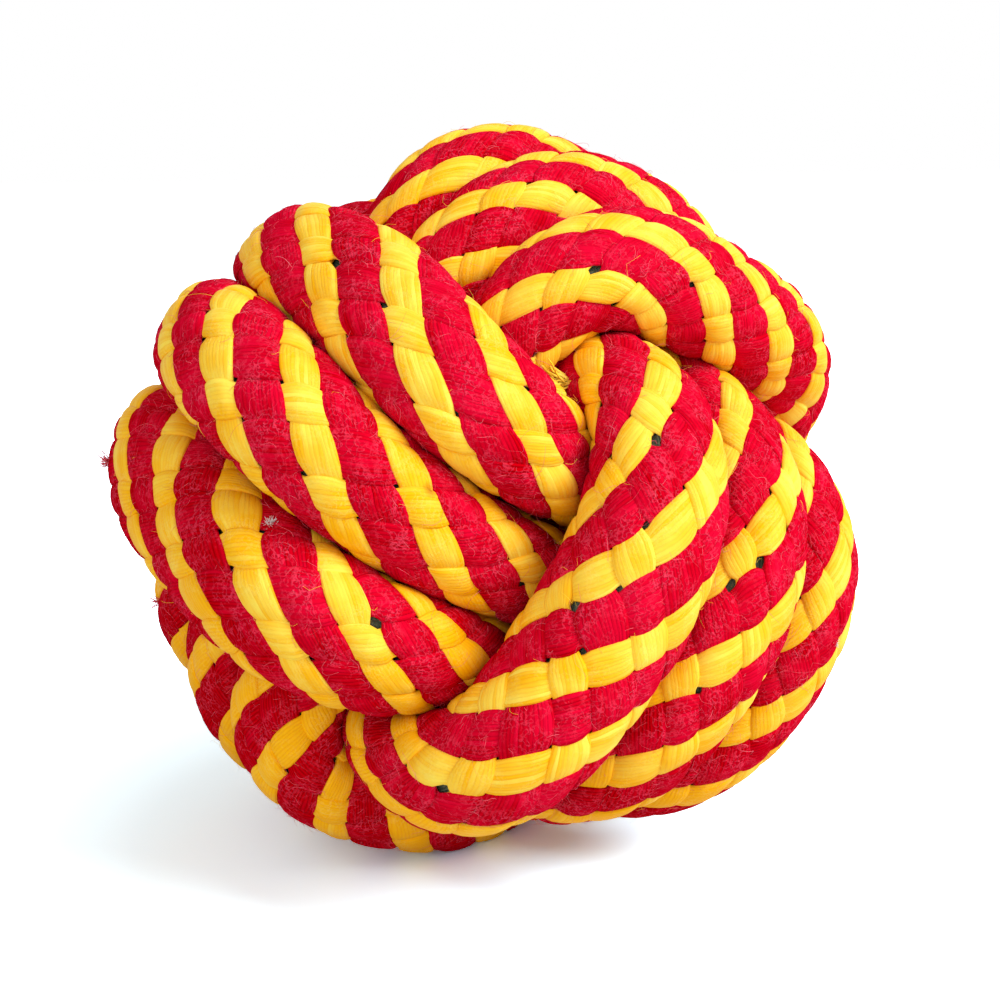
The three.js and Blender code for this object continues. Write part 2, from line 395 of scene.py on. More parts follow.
# Gaps at the tapes' corners, where the core shows, as shares of the tapes'
# spacing: the wide ones' places along the rope and round it, as the photograph
# shows them, the share of corners with one on the sides that it doesn't show,
# their least share of the wide ones' size, the share of corners with a slight gap
# and the widest of those, and the place from front to back where the sides that
# don't show begin
GAP_WIDTH, GAP_LENGTH = 0.13, 0.15
GAPS = (
    (0.098, 0.422), (0.552, 0.250), (1.089, 0.422), (1.093, 0.359), (1.300, 0.375),
    (1.325, 0.406), (1.328, 0.828), (1.332, 0.875), (1.342, 0.344), (2.087, 0.328),
)
HIDDEN_GAP_SHARE = 0.07
HIDDEN_GAP_SIZE = 0.6
SLIGHT_GAP_SHARE = 0.4
SLIGHT_GAP_WIDTH = 0.075
SHOWN_SIDE = -0.004
GAP_SEED = 5


class Braid:
    """Turns a place in the weave, counted in tapes, into a place on the rope."""

    def __init__(self, rope):
        marks, stripes, crossings = np.array(BRAID_SHIFTS).T
        self.run = np.arange(rope.count) * ROUTE_STEP
        stripe = blur(np.interp(self.run / MM, marks, stripes), SHIFT_BLUR)
        crossing = blur(np.interp(self.run / MM, marks, crossings), SHIFT_BLUR)
        self.twist = stripe + crossing
        self.stretch = stripe - crossing
        self.passed = 2 * TAPES * self.run / LEAD + self.stretch
        self.gaps = self.make_gaps(rope)

    def place(self, with_stripe, across_stripe):
        run = np.interp(with_stripe - across_stripe, self.passed, self.run)
        turn = (with_stripe + across_stripe - np.interp(run, self.run, self.twist)) / (2 * TAPES)
        return run, turn

    def numbers(self, run, turn):
        """A place on the rope, counted in tapes across the stripes and across the others."""
        total = 2 * TAPES * turn + np.interp(run, self.run, self.twist)
        passed = np.interp(run, self.run, self.passed)
        return (total + passed) / 2, (total - passed) / 2

    def make_gaps(self, rope):
        """The width of the gap at each corner, by crossings passed and by stripe."""
        crossings = np.arange(int(self.passed[-1]) + 2)
        rows, stripes = np.meshgrid(crossings, np.arange(TAPES), indexing="ij")
        run, turn = self.place(edge_place(stripes), edge_place(stripes - rows))
        hidden = rope.place(run, turn, 0 * run)[..., 1] > SHOWN_SIDE
        draws, slight = np.random.default_rng(GAP_SEED).uniform(0, 1, (2, *rows.shape))
        sizes = HIDDEN_GAP_SIZE * (1 + draws / HIDDEN_GAP_SHARE)
        gaps = GAP_WIDTH * sizes * (hidden & (draws < HIDDEN_GAP_SHARE))
        slight = np.clip(1 - slight / SLIGHT_GAP_SHARE, 0, 1)
        gaps = np.maximum(gaps, SLIGHT_GAP_WIDTH * slight)
        for run, turn in GAPS:
            stripe, cross = (int(nearest_edge(number)) for number in self.numbers(run, turn))
            gaps[stripe - cross, stripe % TAPES] = GAP_WIDTH
        return gaps

    def gap(self, edge, across, crossing):
        """How far a tape draws back from one of its edges beside a gap."""
        near = nearest_edge(across)
        stripe, cross = (near, edge) if crossing else (edge, near)
        row = np.clip(np.asarray(stripe - cross).astype(int), 0, len(self.gaps) - 1)
        size = self.gaps[row, np.mod(stripe, TAPES).astype(int) + 0 * row]
        return size * np.exp(-((across - edge_place(near)) / GAP_LENGTH) ** 2)

    def is_yellow(self, run, turn):
        """True where the tape that shows at a place on the rope is yellow."""
        stripe, crossing = (np.round(number).astype(int) for number in self.numbers(run, turn))
        return np.where((stripe + crossing) % 2 == 0, crossing % 2 == 0, stripe % 2 == 0)


def tape_half_share(number):
    """Half a tape's width, as a share of the tapes' spacing."""
    return YELLOW_SHARE if number % 2 == 0 else 1 - YELLOW_SHARE


def nearest_edge(t):
    """The tapes' edge nearest to a place, by the number of the tape before it."""
    yellow = 2 * np.round(t / 2)
    return np.where(t < yellow, yellow - 1, yellow)


def edge_place(number):
    """Where the edge after a tape is."""
    return number + np.where(np.mod(number, 2) == 0, YELLOW_SHARE, 1 - YELLOW_SHARE)


def weave_phase(t):
    """Turns a place along a tape into crossings passed, with the unequal widths evened out."""
    whole = np.round(t / 2)
    from_yellow = t - 2 * whole
    size = np.abs(from_yellow)
    inner = size / YELLOW_SHARE * 0.5
    outer = 0.5 + (size - YELLOW_SHARE) / (1 - YELLOW_SHARE) * 0.5
    return 2 * whole + np.sign(from_yellow) * np.where(size < YELLOW_SHARE, inner, outer)


def wander(count, spacing, seed):
    """A smooth random line between about -1 and 1."""
    draws = np.random.default_rng(seed).uniform(-1, 1, int(count / spacing) + 4)
    x = np.arange(count) / spacing
    i = x.astype(int)
    u = smooth_step(x - i, 0, 1)
    return draws[i] * (1 - u) + draws[i + 1] * u


def tape_places(rope, total):
    """Places along a tape, closer together where the rope shows."""
    places = []
    t = 0.0
    while t < total:
        places.append(t)
        station = min(int(t / total * (rope.count - 1)), rope.count - 1)
        t += SHOWN_STEP if rope.flat[station] > SHOWN_FLATNESS else INNER_STEP
    return np.array(places + [total])


def half_profile(shares):
    return (1 - np.abs(shares) ** EDGE_POWER) ** (1 / 2)


def tape_mesh(rope, braid, name, number, crossing):
    """One tape, from one end of the rope to the other, as a closed woven strip."""
    t = tape_places(rope, 2 * TAPES * rope.length / LEAD)[:, None]
    seed = 2 * number + int(crossing)
    way = 1 if crossing else -1
    other = number + way * t
    swing = np.cos(np.pi * (weave_phase(other) - number))
    lift = way * ((1 - HELD_FLAT) * swing + HELD_FLAT * np.sin(0.5 * np.pi * swing))

    half = tape_half_share(number) * (1 + WIDER_OVER * lift) - EDGE_GAP_SHARE
    edges = []
    for side in (1, 2):
        uneven = wander(len(t), WIDTH_SPACING, seed + EDGE_SEED * side)[:, None]
        gap = braid.gap(number + side - 2, other, crossing)
        edges.append(half * (1 + UNEVEN_WIDTH * uneven) - gap)
    share = np.r_[TOP_SHARES, BOTTOM_SHARES][None, :]
    own = number + share * np.where(share < 0, *edges)
    other = other + 0 * own

    profile = np.r_[half_profile(TOP_SHARES), -half_profile(BOTTOM_SHARES)][None, :]
    uneven = 1 + UNEVEN_LIFT * wander(len(t), LIFT_SPACING, seed + LIFT_SEED)[:, None]
    height = 0.5 * TAPE_THICKNESS * (lift * uneven + profile)
    run, turn = braid.place(other, own) if crossing else braid.place(own, other)
    points = rope.place(run, turn, height)
    width = 2 * tape_half_share(number) * TAPE_STEP_MM
    return strip_object(name, points, t * TAPE_STEP_MM + 0 * share, (share + 1) / 2 * width + 0 * t)


def strip_object(name, points, uv_along, uv_across):
    """Rings of points as a closed tube with caps, and with a map along and across it in mm."""
    rings, sides = points.shape[:2]
    index = np.arange(rings * sides).reshape(rings, sides)
    following = np.roll(index, -1, axis=1)
    quads = np.stack([index[:-1], index[1:], following[1:], following[:-1]], axis=-1)
    faces = [quads.reshape(-1, 4), index[:1], index[-1:, ::-1]]
    return mesh_object(name, points.reshape(-1, 3), faces, (uv_along.ravel(), uv_across.ravel()))


def mesh_object(name, points, faces, uv=None):
    """An object from points and from blocks of faces, each block with one count of corners."""
    mesh = bpy.data.meshes.new(name)
    loops = np.concatenate([block.ravel() for block in faces])
    totals = np.concatenate([np.full(len(block), block.shape[1]) for block in faces])
    mesh.vertices.add(len(points))
    mesh.vertices.foreach_set("co", points.ravel().astype(np.float32))
    mesh.loops.add(len(loops))
    mesh.loops.foreach_set("vertex_index", loops.astype(np.int32))
    mesh.polygons.add(len(totals))
    mesh.polygons.foreach_set("loop_start", (np.cumsum(totals) - totals).astype(np.int32))
    mesh.polygons.foreach_set("loop_total", totals.astype(np.int32))
    mesh.update(calc_edges=True)
    mesh.polygons.foreach_set("use_smooth", np.ones(len(totals), bool))
    if uv is not None:
        layer = mesh.uv_layers.new(name="Yarn")
        layer.data.foreach_set("uv", np.column_stack(uv)[loops].ravel().astype(np.float32))
    piece = bpy.data.objects.new(name, mesh)
    bpy.context.scene.collection.objects.link(piece)
    return piece


# The bundle of filler strands: its steps along the rope and points round it, how
# many strands lie round its outside, the length in which they wind round once, how
# deep under the weave they lie, how deep the grooves between them are, and the
# bundle's girth on the yarns' map
CORE_STEP = 0.002
CORE_SIDES = 42
CORE_STRANDS = 14
CORE_LEAD = 0.12
CORE_DEPTH = 0.0006
CORE_RIPPLE = 0.0004
CORE_GIRTH_MM = 50


def core_mesh(rope, name):
    """The bundle of filler strands inside the weave."""
    runs = np.linspace(0, rope.length, int(rope.length / CORE_STEP))[:, None]
    turns = np.arange(CORE_SIDES)[None, :] / CORE_SIDES + 0 * runs
    runs = runs + 0 * turns
    ripple = np.abs(np.sin(np.pi * CORE_STRANDS * (turns - runs / CORE_LEAD)))
    points = rope.place(runs, turns, CORE_RIPPLE * (ripple - 1) - CORE_DEPTH)
    return strip_object(name, points[:, ::-1], runs / MM, turns * CORE_GIRTH_MM)


def ranged(tree, value, low, high, to_low=0, to_high=1):
    """A value moved from one range to another and kept inside it."""
    node = tree.nodes.new("ShaderNodeMapRange")
    limits = {"From Min": low, "From Max": high, "To Min": to_low, "To Max": to_high}
    for name, number in limits.items():
        node.inputs[name].default_value = number
    tree.links.new(value, node.inputs["Value"])
    return node.outputs[0]


def distance(tree, place, centre):
    node = tree.nodes.new("ShaderNodeVectorMath")
    node.operation = "DISTANCE"
    tree.links.new(place, node.inputs[0])
    node.inputs[1].default_value = centre
    return node.outputs["Value"]


class Cloth:
    """A material for cotton yarns, built up from nodes."""

    def __init__(self, name):
        self.material = bpy.data.materials.new(name)
        self.material.use_nodes = True
        self.tree = self.material.node_tree
        self.shader = self.tree.nodes["Principled BSDF"]
        self.where = self.tree.nodes.new("ShaderNodeTexCoord").outputs["Object"]

    def yarn_map(self):
        """The place on the yarns, along and across them in millimetres."""
        uv = self.tree.nodes.new("ShaderNodeUVMap")
        uv.uv_map = "Yarn"
        split = self.tree.nodes.new("ShaderNodeSeparateXYZ")
        self.connect(split.inputs[0], uv.outputs[0])
        return split.outputs[0], split.outputs[1]

    def connect(self, socket, value):
        if isinstance(value, bpy.types.NodeSocket):
            self.tree.links.new(value, socket)
        elif value is not None:
            socket.default_value = value

    def math(self, operation, first, second=None, third=None):
        node = self.tree.nodes.new("ShaderNodeMath")
        node.operation = operation
        for socket, value in zip(node.inputs, (first, second, third)):
            self.connect(socket, value)
        return node.outputs[0]

    def limited(self, value, gain, start):
        """A value times a gain, plus a start, kept between zero and one."""
        result = self.math("MULTIPLY_ADD", value, gain, start)
        result.node.use_clamp = True
        return result

    def scaled_point(self, first, second, rates):
        """A point on the yarns whose two places are scaled by their rates."""
        node = self.tree.nodes.new("ShaderNodeCombineXYZ")
        for socket, value, rate in zip(node.inputs, (first, second), rates):
            self.connect(socket, self.math("MULTIPLY", value, rate))
        return node.outputs[0]

    def noise(self, place, scale, detail=2.0):
        node = self.tree.nodes.new("ShaderNodeTexNoise")
        self.connect(node.inputs["Vector"], place)
        node.inputs["Scale"].default_value = scale
        node.inputs["Detail"].default_value = detail
        return node.outputs[0]

    def mix(self, share, first, second):
        node = self.tree.nodes.new("ShaderNodeMix")
        node.data_type = "RGBA"
        self.connect(node.inputs["Factor"], share)
        self.connect(node.inputs["A"], (*first, 1) if isinstance(first, tuple) else first)
        self.connect(node.inputs["B"], (*second, 1) if isinstance(second, tuple) else second)
        return node.outputs["Result"]

    def bump(self, height, relief):
        node = self.tree.nodes.new("ShaderNodeBump")
        node.inputs["Strength"].default_value = 1.0
        node.inputs["Distance"].default_value = relief
        self.connect(node.inputs["Height"], height)
        self.connect(self.shader.inputs["Normal"], node.outputs[0])

    def finish(self, colour, roughness, gloss):
        self.connect(self.shader.inputs["Base Color"], colour)
        self.shader.inputs["Roughness"].default_value = roughness
        self.shader.inputs["Specular IOR Level"].default_value = gloss
        return self.material


# The yarns on their map in millimetres: their width, how far they bend, and how
# often their bends, streaks and tones change along and across them
YARN_WIDTH_MM, YARN_BEND_MM = 0.42, 0.9
BEND_RATES = (0.16, 0.5)
STREAK_RATES = (0.5, 4.0)
TONE_RATES = (0.08, 7.3)
FINE_DETAIL = 3.0
YARN_ROUGHNESS = 0.5

# How high the yarns and their streaks stand, and how much the streaks show in
# the deep colour between the yarns, which is painted shade in the grooves as well
# as the yarns' own fine dark lines
RIDGE_RELIEF, STREAK_RELIEF = 0.6, 0.7
GROOVE_LEAST, GROOVE_STREAKS = 0.45, 0.9

# The fluff: the scale and sharpness of its curly lines, and the scale of the
# places where it grows, with how steeply it gets thicker there and from where
CURLS = ((620.0, 34.0), (1150.0, 22.0))
FLUFFY_SCALE, FLUFFY_GAIN, FLUFFY_START = 330.0, 3.2, -1.15

# The cotton is painted paler towards the side and the top that the key light falls
# on, and further out from the ball, as a painted highlight, and deeper towards the
# inside of the ball, as painted shade: the point that this is measured from, the
# distances where it starts and ends, and how strong it is beside the yarns' own
# tones and the patches
SHADE_CENTRE = BALL_CENTRE + np.array([-0.009, 0.010, -0.015])
SHADE_RADIUS, HIGHLIGHT_RADIUS = 0.040, 0.066
HIGHLIGHT_STRENGTH, PALE_UNEVEN, PALE_START = 0.8, 2.0, -2.2
PATCH_SCALE = 140.0

# Stains: the scale of the cells that some have one in, the share of cells without
# one, how quickly a stain fades from its middle, and how strong it is
STAIN_SCALE, STAIN_RARITY = 95.0, 0.62
STAIN_MIDDLE, STAIN_FADE, STAIN_STRENGTH = 1.5, -14.0, 0.55


def curly_lines(cloth):
    """Thin curly lines of fluff, in the places where it grows."""
    lines = []
    for scale, sharpness in CURLS:
        off = cloth.math("ABSOLUTE", cloth.math("SUBTRACT", cloth.noise(cloth.where, scale), 0.5))
        lines.append(cloth.math("MULTIPLY_ADD", off, -sharpness, 1.0))
    lines = cloth.math("MAXIMUM", cloth.math("MAXIMUM", *lines), 0.0)
    fluffy = cloth.limited(cloth.noise(cloth.where, FLUFFY_SCALE), FLUFFY_GAIN, FLUFFY_START)
    return cloth.math("MULTIPLY", lines, fluffy)


def highlight_and_tone(cloth, tone):
    """How pale the cotton is: a painted highlight towards the lit side and the outside and painted
    shade inwards, from its place, with its patches and its yarns' own tones.
    """
    # Painted highlight and shade: the distance from a centre set away from the key light
    from_shade_centre = distance(cloth.tree, cloth.where, SHADE_CENTRE)
    outward = ranged(cloth.tree, from_shade_centre, SHADE_RADIUS, HIGHLIGHT_RADIUS)
    uneven = cloth.math("ADD", tone, cloth.noise(cloth.where, PATCH_SCALE, FINE_DETAIL))
    patchy = cloth.math("MULTIPLY_ADD", uneven, PALE_UNEVEN, PALE_START)
    return cloth.limited(outward, HIGHLIGHT_STRENGTH, patchy)


def stains(cloth):
    """Small soft spots at the middles of random cells."""
    cells = cloth.tree.nodes.new("ShaderNodeTexVoronoi")
    cells.inputs["Scale"].default_value = STAIN_SCALE
    cloth.connect(cells.inputs["Vector"], cloth.where)
    near = cloth.math("MULTIPLY_ADD", cells.outputs["Distance"], STAIN_FADE, STAIN_MIDDLE)
    chosen = cloth.math("GREATER_THAN", cells.outputs["Color"], STAIN_RARITY)
    return cloth.limited(cloth.math("MULTIPLY", near, chosen), STAIN_STRENGTH, 0.0)


def yarn_cloth(name, deep, plain, bright, fluff, relief, groove_power, fluffiness, gloss,
               lit_and_pale_power, stain=None):
    """Yarns side by side, with deep colour between them as painted shade in the grooves and as the
    yarns' own fine dark lines, and fluff on them, paler in random patches and as a painted
    highlight on the lit side.
    """
    cloth = Cloth(name)
    along, across = cloth.yarn_map()
    bend = cloth.noise(cloth.scaled_point(along, across, BEND_RATES), 1.0)
    bent = cloth.math("MULTIPLY_ADD", bend, YARN_BEND_MM, across)
    yarns = cloth.math("DIVIDE", bent, YARN_WIDTH_MM)
    inside = cloth.math("MULTIPLY", cloth.math("PINGPONG", yarns, 0.5), 2.0)
    ridge = cloth.math("POWER", inside, groove_power)
    streak = cloth.noise(cloth.scaled_point(along, yarns, STREAK_RATES), 1.0, FINE_DETAIL)
    number = cloth.math("FLOOR", yarns)
    tone = cloth.noise(cloth.scaled_point(along, number, TONE_RATES), 1.0)
    curl = cloth.math("MULTIPLY", curly_lines(cloth), fluffiness)

    ridges = cloth.math("MULTIPLY", ridge, RIDGE_RELIEF)
    height = cloth.math("MULTIPLY_ADD", streak, STREAK_RELIEF, ridges)
    cloth.bump(cloth.math("ADD", height, curl), relief)

    # Painted shade, with the yarns' own fine dark lines: the deep colour darkens the grooves
    # between the yarns
    streaky = cloth.math("MULTIPLY_ADD", streak, GROOVE_STREAKS, GROOVE_LEAST)
    colour = cloth.mix(cloth.math("MULTIPLY", ridge, streaky), deep, plain)
    # Painted highlight and shade: paler towards the lit side, the top and the outside of the ball,
    # deeper inwards, with random pale patches
    lit_and_pale = cloth.math("POWER", highlight_and_tone(cloth, tone), lit_and_pale_power)
    colour = cloth.mix(lit_and_pale, colour, bright)
    colour = cloth.mix(curl, colour, fluff)
    if stain:
        colour = cloth.mix(stains(cloth), colour, stain)
    return cloth.finish(colour, YARN_ROUGHNESS, gloss)


# The cottons' colours, with a deep one painted into the grooves as shade and a bright one
# for the painted highlight and the pale patches, how deep their yarns are, how fluffy
# and glossy they are, and how steeply the painted highlight and pale patches set in.
# Lint has a plain and a bright colour, and patches of the bright one, with their
# scale, how steeply they set in and from where
YELLOW = dict(deep=(0.90, 0.36, 0.0), plain=(0.98, 0.51, 0.001), bright=(1.0, 0.75, 0.085),
              fluff=(1.0, 0.84, 0.22), relief=0.00007, groove_power=0.3, fluffiness=0.25,
              gloss=0.08, lit_and_pale_power=1.5, stain=(0.30, 0.09, 0.01))
RED = dict(deep=(0.30, 0.0, 0.001), plain=(0.59, 0.0001, 0.006), bright=(0.74, 0.003, 0.032),
           fluff=(1.0, 0.072, 0.145), relief=0.00015, groove_power=0.5, fluffiness=0.70,
           gloss=0.0, lit_and_pale_power=1.0)
GREEN = dict(deep=(0.020, 0.036, 0.024), plain=(0.095, 0.155, 0.10), bright=(0.20, 0.26, 0.18),
             fluff=(0.30, 0.36, 0.26), relief=0.00018, groove_power=0.7, fluffiness=0.7,
             gloss=0.10, lit_and_pale_power=1.0)
LINT = dict(yellow=((1.0, 0.60, 0.012), (1.0, 0.80, 0.11)),
            red=((0.70, 0.03, 0.06), (0.95, 0.24, 0.30)),
            white=((0.80, 0.76, 0.74), (0.95, 0.93, 0.92)))
LINT_SCALE, LINT_GAIN, LINT_START = 420.0, 2.6, -0.8
LINT_ROUGHNESS, LINT_GLOSS = 0.8, 0.03


def lint_cloth(name, plain, bright):
    """Loose fibres of one colour, some paler than others."""
    cloth = Cloth(name)
    share = cloth.limited(cloth.noise(cloth.where, LINT_SCALE), LINT_GAIN, LINT_START)
    return cloth.finish(cloth.mix(share, plain, bright), LINT_ROUGHNESS, LINT_GLOSS)


def fit_out(piece, material):
    piece.data.materials.append(material)
    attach(piece, "root")


def make_rope(rope, braid, yellow, red, green):
    for number in range(TAPES):
        for crossing in (False, True):
            colour, material = ("yellow", yellow) if number % 2 == 0 else ("red", red)
            way = "crossing" if crossing else "stripe"
            name = f"{colour}_{way}_tape_{number // 2 + 1}"
            piece = tape_mesh(rope, braid, name, number, crossing)
            fit_out(piece, material)
            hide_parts("first_winding_cover", "second_winding_cover", "third_winding_cover")
    core = core_mesh(rope, "filler_strands")
    fit_out(core, green)
    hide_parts("first_winding_core", "second_winding_core", "third_winding_core")


# Loose fibres that stand off the yarns: how many, the rings of points that each
# is made of, their radius, how much it varies and how much thinner the end is,
# the short and the long ones' lengths, the share of long ones, how many at most
# are one piece, and a direction to lay the rings' corners by
FIBRES = 25000
FIBRE_RINGS = 6
FIBRE_RADIUS, FIBRE_RADII, FIBRE_TAPER = 0.000023, (0.7, 1.3), 0.45
SHORT_FIBRE, LONG_FIBRE = (0.0006, 0.0024), (0.0022, 0.0048)
LONG_SHARE = 0.15
FIBRES_PER_PIECE = 6200
TUBE_SIDES = 3
ANY_DIRECTION = np.array([0.31, 0.59, 0.74])

# How steeply fibres leave the yarns, how they bend back to them and sideways, and
# how much they curl, with the number of curls
FIBRE_SLOPES, SLOPE_POWER = (0.05, 1.0), 1.4
FIBRE_DROOP, DROOP_PER_SLOPE = 0.35, 0.75
FIBRE_BEND = 0.55
FIBRE_CURL, CURL_TURNS = 0.14, (0.4, 1.3)

# Where fibres grow: tried places for each one kept, how far up the tape they
# start, how much the skin has to face outward and the rope has to show, the
# height over the floor, and the share that grows on yellow
TRIED = 4
FIBRE_FOOT = 0.6
LEAST_OUTWARD, LEAST_FLATNESS, LEAST_HEIGHT = 0.2, 0.1, 0.002
YELLOW_KEPT = 0.18
FUZZ_SEED, TUFT_SEED = 11, 23

# Frayed tufts and specks of lint: place along the rope and round it, how many
# fibres, how long, how thick and how widely they spread, and their colour
TUFTS = (
    (0.085, 0.469, 150, 0.0009, 0.00004, 0.9, "white"),
    (0.854, 0.328, 90, 0.0008, 0.00004, 0.9, "white"),
    (1.358, 0.469, 34, 0.0058, 0.00021, 0.24, "yellow"),
    (0.053, 0.234, 60, 0.0024, 0.00006, 0.25, "red"),
    (1.443, 0.281, 40, 0.0020, 0.00005, 0.25, "red"),
)

# Where a tuft's fibres start and where they point to, in tapes' thicknesses over
# the skin, how they leave it, bend back and curl, how widely they start beside
# each other, how their lengths and radii vary, and the tips' share of the radius
TUFT_FOOT, TUFT_HEAD = 0.3, 1.3
TUFT_SLOPE, TUFT_DROOP, TUFT_CURL = 2.5, 0.1, 0.08
TUFT_START_SPREAD = 0.25
TUFT_LENGTHS, TUFT_RADII, TUFT_TIP = (0.5, 1.1), (0.6, 1.2), 0.6


def tubes_object(name, paths, radii):
    """Thin three-sided tubes along paths, as one object."""
    count, rings = paths.shape[:2]
    along = unit(np.gradient(paths, axis=1))
    side = unit(np.cross(along, ANY_DIRECTION))
    other = np.cross(along, side)
    angles = 2 * np.pi * np.arange(TUBE_SIDES) / TUBE_SIDES
    around = (np.cos(angles)[:, None] * side[:, :, None]
              + np.sin(angles)[:, None] * other[:, :, None])
    points = paths[:, :, None] + radii[:, :, None, None] * around
    index = np.arange(count * rings * TUBE_SIDES).reshape(count, rings, TUBE_SIDES)
    following = np.roll(index, -1, axis=2)
    quads = np.stack([index[:, :-1], following[:, :-1], following[:, 1:], index[:, 1:]], axis=-1)
    faces = [quads.reshape(-1, 4), index[:, 0, ::-1], index[:, -1]]
    return mesh_object(name, points.reshape(-1, 3), faces)


def fibre_paths(rng, start, normal, length, slope, droop, curliness):
    """Curved paths that leave the yarns at a slope and bend back to them."""
    count = len(start)
    sideways = unit(np.cross(normal, rng.normal(size=(count, 3))))
    heading = unit(sideways + slope * normal)
    bend = unit(rng.normal(size=(count, 3))) * FIBRE_BEND - normal * droop
    s = np.linspace(0, 1, FIBRE_RINGS)[None, :, None]
    turns = rng.uniform(*CURL_TURNS, (count, 1, 1))
    curl = unit(np.cross(heading, normal))[:, None] * np.sin(2 * np.pi * s * turns)
    way = heading[:, None] * s + 0.5 * bend[:, None] * s * s + curliness * curl
    paths = start[:, None] + length[:, None] * way
    paths[..., 2] = np.maximum(paths[..., 2], FIBRE_RADIUS)
    return paths


def make_fuzz(rope, braid, cloths):
    rng = np.random.default_rng(FUZZ_SEED)
    run = rng.uniform(0, rope.length, FIBRES * TRIED)
    turn = rng.uniform(0, 1, FIBRES * TRIED)
    height = np.full(len(run), FIBRE_FOOT * TAPE_THICKNESS)
    start = rope.place(run, turn, height)
    normal = unit(rope.place(run, turn, height + MM) - start)
    outward = np.sum(unit(start - BALL_CENTRE) * normal, axis=1)
    flat = np.interp(run, braid.run, rope.flat)
    shown = (outward > LEAST_OUTWARD) & (flat > LEAST_FLATNESS) & (start[:, 2] > LEAST_HEIGHT)
    start, normal, run, turn = (values[shown][:FIBRES] for values in (start, normal, run, turn))
    count = len(start)
    is_long = rng.uniform(size=(count, 1)) < LONG_SHARE
    long_lengths = rng.uniform(*LONG_FIBRE, (count, 1))
    length = np.where(is_long, long_lengths, rng.uniform(*SHORT_FIBRE, (count, 1)))
    slope = rng.uniform(*FIBRE_SLOPES, (count, 1)) ** SLOPE_POWER
    droop = FIBRE_DROOP + DROOP_PER_SLOPE * slope
    paths = fibre_paths(rng, start, normal, length, slope, droop, FIBRE_CURL)
    taper = 1 - FIBRE_TAPER * np.linspace(0, 1, FIBRE_RINGS)
    radii = FIBRE_RADIUS * rng.uniform(*FIBRE_RADII, (count, 1)) * taper
    on_yellow = braid.is_yellow(run, turn)
    kept = {"yellow": on_yellow & (rng.uniform(size=count) < YELLOW_KEPT), "red": ~on_yellow}
    for colour, chosen in kept.items():
        order = np.flatnonzero(chosen)
        order = order[np.argsort(run[order], kind="stable")]
        pieces = np.array_split(order, math.ceil(len(order) / FIBRES_PER_PIECE))
        for number, some in enumerate(pieces):
            fuzz = tubes_object(f"{colour}_fuzz_{number + 1}", paths[some], radii[some])
            fit_out(fuzz, cloths[colour])


def make_tufts(rope, cloths):
    rng = np.random.default_rng(TUFT_SEED)
    for number, (run, turn, count, length, radius, spread, colour) in enumerate(TUFTS):
        height = np.array([TUFT_FOOT, TUFT_HEAD]) * TAPE_THICKNESS
        foot, above = rope.place(np.full(2, run), np.full(2, turn), height)
        heading = unit(above - foot) + spread * rng.normal(size=(count, 3))
        start = foot + TUFT_START_SPREAD * length * spread * rng.normal(size=(count, 3))
        lengths = length * rng.uniform(*TUFT_LENGTHS, (count, 1))
        paths = fibre_paths(rng, start, unit(heading), lengths, TUFT_SLOPE, TUFT_DROOP, TUFT_CURL)
        taper = np.linspace(1, TUFT_TIP, FIBRE_RINGS)
        radii = radius * rng.uniform(*TUFT_RADII, (count, 1)) * taper
        tuft = tubes_object(f"{colour}_tuft_{number + 1}", paths, radii)
        fit_out(tuft, cloths[colour])


# The camera, as found from the photograph: its distance from the ball's centre,
# its direction and roll in degrees, its lens and sensor in millimetres, its shift,
# and the nearest and furthest that it sees
CAMERA_DISTANCE = 0.235
CAMERA_ELEVATION, CAMERA_AZIMUTH, CAMERA_ROLL = 10.97, -1.02, -0.8
CAMERA_LENS, CAMERA_SENSOR = 60.3, 36.0
CAMERA_SHIFT = (0.0113, -0.0063)
CAMERA_NEAR, CAMERA_FAR = 0.01, 40.0


def make_camera():
    data = bpy.data.cameras.new("camera")
    data.sensor_fit = "HORIZONTAL"
    data.sensor_width = CAMERA_SENSOR
    data.lens = CAMERA_LENS
    data.shift_x, data.shift_y = CAMERA_SHIFT
    data.clip_start, data.clip_end = CAMERA_NEAR, CAMERA_FAR
    camera = bpy.data.objects.new("camera", data)
    turn = Matrix.Rotation(math.radians(CAMERA_AZIMUTH), 3, "Z")
    tilt = Matrix.Rotation(math.radians(90 - CAMERA_ELEVATION), 3, "X")
    roll = Matrix.Rotation(math.radians(CAMERA_ROLL), 3, "Z")
    pose = turn @ tilt @ roll
    place = Vector(BALL_CENTRE) + pose @ Vector((0, 0, CAMERA_DISTANCE))
    camera.matrix_world = Matrix.Translation(place) @ pose.to_4x4()
    bpy.context.scene.collection.objects.link(camera)
    bpy.context.scene.camera = camera


def seen(tree, *rays):
    """One for these kinds of ray, and zero for the others."""
    path = tree.nodes.new("ShaderNodeLightPath")
    share = path.outputs[rays[0]]
    for ray in rays[1:]:
        either = tree.nodes.new("ShaderNodeMath")
        either.operation = "MAXIMUM"
        tree.links.new(share, either.inputs[0])
        tree.links.new(path.outputs[ray], either.inputs[1])
        share = either.outputs[0]
    return share


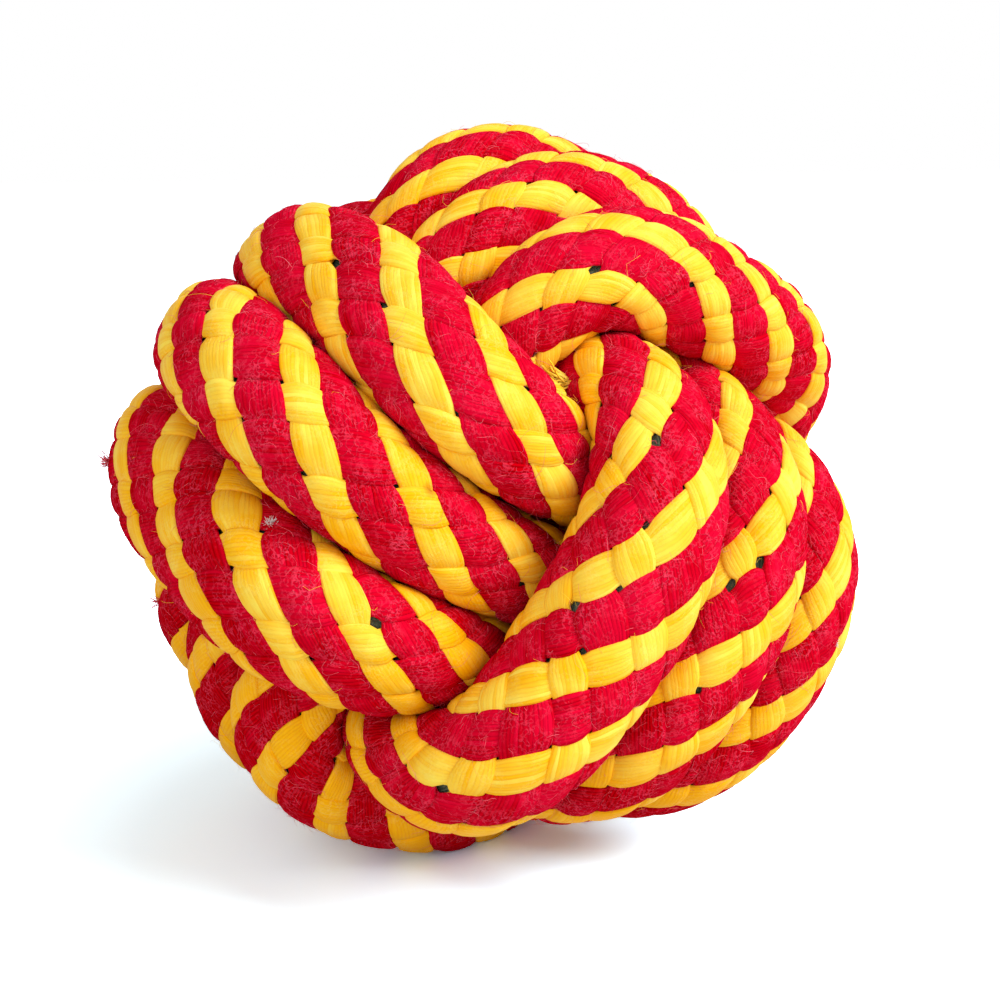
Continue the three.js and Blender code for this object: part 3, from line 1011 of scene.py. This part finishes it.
# The studio: how bright the world is as a light, and the floor's colour as it
# lights the ball and in reflections, and as it is seen. The colour seen is painted
# light: it is tinted to cancel the ball's warm bounce light near the ball, and is
# painted whiter further away
WORLD_LIGHT = 0.50
REFLECTED = ("Is Glossy Ray", "Is Transmission Ray")
FLOOR_SIZE = 60.0
FLOOR_LIT, FLOOR_REFLECTED = (0.75, 0.75, 0.75), (1.0, 1.0, 1.0)
GLOW_CENTRE = (0.02, -0.02, 0.0)
GLOW_NEAR, GLOW_FAR = 0.03, 0.065
FLOOR_GLOWING, FLOOR_PLAIN = (0.71, 0.97, 1.13), (0.69, 0.84, 0.90)
BALL_FOOT = (0.0, 0.0, 0.0)
FLOOR_NEAR, FLOOR_FAR = 0.05, 0.095
WHITENESS_NEAR, WHITENESS_FAR = 2.15, 3.2

# Each lamp's name, place, size in metres and power in watts
LAMPS = (
    ("key_light", (0.90, -0.50, 0.80), 0.7, 16.0),
    ("fill_light", (-0.5, -1.0, 0.6), 0.9, 4.5),
)


def make_studio():
    world = bpy.data.worlds.new("studio")
    bpy.context.scene.world = world
    world.use_nodes = True
    background = world.node_tree.nodes["Background"]
    background.inputs["Color"].default_value = (1, 1, 1, 1)
    shown = seen(world.node_tree, "Is Camera Ray", *REFLECTED)
    level = ranged(world.node_tree, shown, 0, 1, WORLD_LIGHT, 1)
    world.node_tree.links.new(level, background.inputs["Strength"])

    half = FLOOR_SIZE / 2
    corners = np.array([(-half, -half, 0), (half, -half, 0), (half, half, 0), (-half, half, 0)])
    floor = mesh_object("floor", corners, [np.array([[0, 1, 2, 3]])])
    paper = Cloth("floor_paper")
    tree = paper.tree
    # Painted light: the floor as seen grows whiter away from the ball and is tinted to cancel the
    # ball's bounce light near it
    from_ball = distance(tree, paper.where, BALL_FOOT)
    whiteness = ranged(tree, from_ball, FLOOR_NEAR, FLOOR_FAR, WHITENESS_NEAR, WHITENESS_FAR)
    beyond = ranged(tree, distance(tree, paper.where, GLOW_CENTRE), GLOW_NEAR, GLOW_FAR)
    colour = tree.nodes.new("ShaderNodeVectorMath")
    colour.operation = "SCALE"
    tree.links.new(paper.mix(beyond, FLOOR_GLOWING, FLOOR_PLAIN), colour.inputs[0])
    tree.links.new(whiteness, colour.inputs["Scale"])
    white = paper.mix(seen(tree, *REFLECTED), FLOOR_LIT, FLOOR_REFLECTED)
    white = paper.mix(seen(tree, "Is Camera Ray"), white, colour.outputs[0])
    floor.data.materials.append(paper.finish(white, 1.0, 0.0))

    for name, place, size, power in LAMPS:
        lamp(name, place, size, power)


def lamp(name, place, size, power):
    data = bpy.data.lights.new(name, "AREA")
    data.shape = "DISK"
    data.size = size
    data.energy = power
    light = bpy.data.objects.new(name, data)
    light.location = place
    light.rotation_mode = "QUATERNION"
    light.rotation_quaternion = (Vector(BALL_CENTRE) - Vector(place)).to_track_quat("-Z", "Y")
    bpy.context.scene.collection.objects.link(light)


def main():
    rope = Rope()
    braid = Braid(rope)
    yellow = yarn_cloth("yellow_cotton", **YELLOW)
    red = yarn_cloth("red_cotton", **RED)
    green = yarn_cloth("green_filler", **GREEN)
    make_rope(rope, braid, yellow, red, green)
    cloths = {colour: lint_cloth(f"{colour}_lint", *tones) for colour, tones in LINT.items()}
    make_fuzz(rope, braid, cloths)
    make_tufts(rope, cloths)
    make_camera()
    make_studio()


main()
bpy.context.scene.view_settings.view_transform = "Standard"
bpy.context.view_layer.update()
